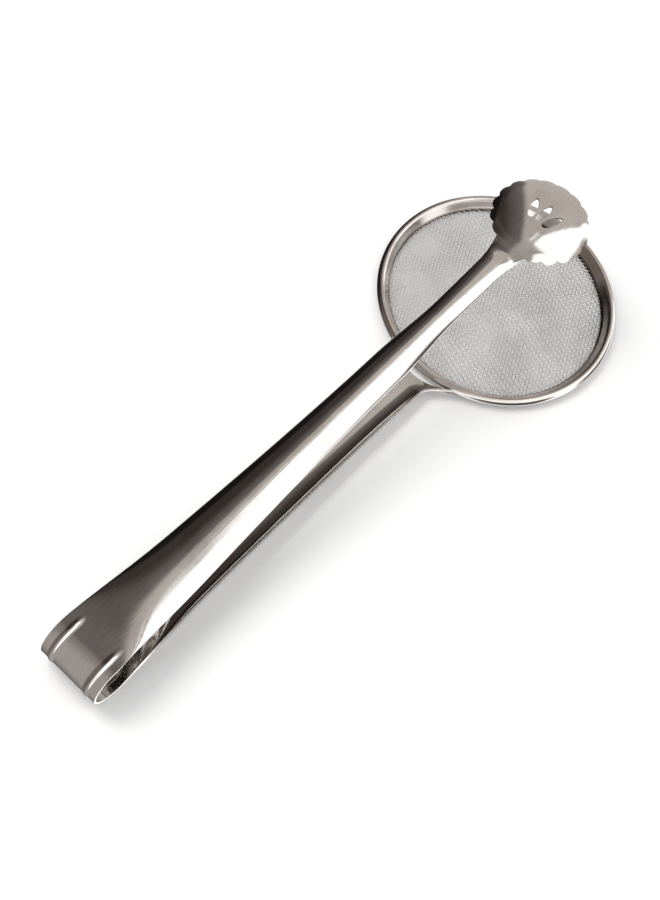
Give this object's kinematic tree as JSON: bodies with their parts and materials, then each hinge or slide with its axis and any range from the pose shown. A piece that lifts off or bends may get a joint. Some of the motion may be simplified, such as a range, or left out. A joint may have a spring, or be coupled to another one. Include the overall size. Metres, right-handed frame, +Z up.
{
  "type": "tong strainer",
  "caption": "One-piece spring tongs of pressed steel: a round mesh strainer welded to the lower arm and a domed, scalloped claw with petal slots on the upper arm.",
  "frame": {"origin": "centre of the overall box, on the surface that the strainer rests on", "axes": "+X from the fold to the strainer, +Y left, +Z up from the strainer arm to the claw arm"},
  "size_m": [0.29, 0.1, 0.0557],
  "materials": {
    "pressed_steel": "polished stainless steel with faint buffing lines",
    "rim_steel": "polished rolled stainless sheet",
    "core_wire": "drawn wire",
    "woven_wire": "bright drawn stainless wire, plain weave",
    "weld_metal": "cleaned weld"
  },
  "bodies": {
    "strainer": {"strainer_arm": "pressed_steel", "spring_fold": "pressed_steel", "rim_band": "rim_steel", "rim_core_wire": "core_wire", "mesh_disc": "woven_wire", "wing_welds": "weld_metal"},
    "claw": {"claw_arm": "pressed_steel"}
  },
  "joints": [
    {"name": "squeeze", "type": "hinge", "parent": "strainer", "child": "claw", "pos_m": [-0.1333, 0, 0.0117], "axis": [0, 1, 0], "range_deg": [0, 10.6], "stiffness_Nm_per_rad": 2.5}
  ]
}
